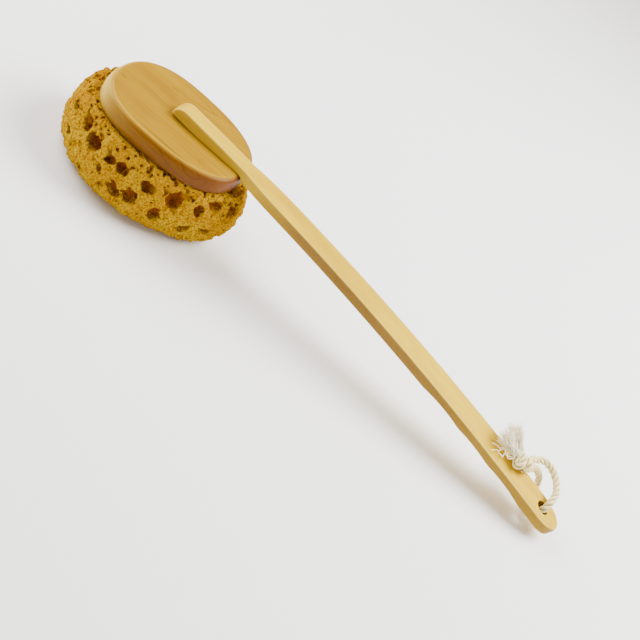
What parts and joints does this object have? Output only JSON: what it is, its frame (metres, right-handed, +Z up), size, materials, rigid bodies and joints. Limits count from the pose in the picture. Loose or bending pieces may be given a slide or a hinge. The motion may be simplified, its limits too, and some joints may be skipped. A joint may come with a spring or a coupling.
{
  "type": "long-handled bath sponge brush",
  "caption": "Long curved wooden handle lapped onto an oval wooden paddle with a natural sponge glued under it, and a knotted rope loop through the grip for hanging.",
  "frame": {"origin": "centre of the base of the whole brush, cord left out; the sponge's flat underside is z = 0", "axes": "+X runs from the sponge head to the grip's tip, +Z is up out of the paddle's back, +Y completes a right-handed frame"},
  "size_m": [0.4389, 0.1078, 0.0701],
  "materials": {
    "handle_wood": "clear lacquered pale hardwood, satin",
    "paddle_wood": "clear lacquered golden hardwood, satin",
    "screw_steel": "bright zinc plated",
    "glue": "dried clear glue",
    "sponge": "open-pored natural sponge, matte",
    "rope": "three-strand twisted cotton, matte"
  },
  "bodies": {
    "brush": {"handle": "handle_wood", "paddle": "paddle_wood", "handle_screws": "screw_steel", "handle_glue": "glue", "sponge": "sponge", "sponge_glue": "glue"},
    "hang_loop": {"hang_rope": "rope", "rope_knot": "rope", "rope_tails": "rope"}
  },
  "joints": [
    {"name": "loop_swing", "type": "hinge", "parent": "brush", "child": "hang_loop", "pos_m": [0.20158, 0, 0.01469], "axis": [0.23, 0, 0.9732], "range_deg": [-220, 0]}
  ]
}
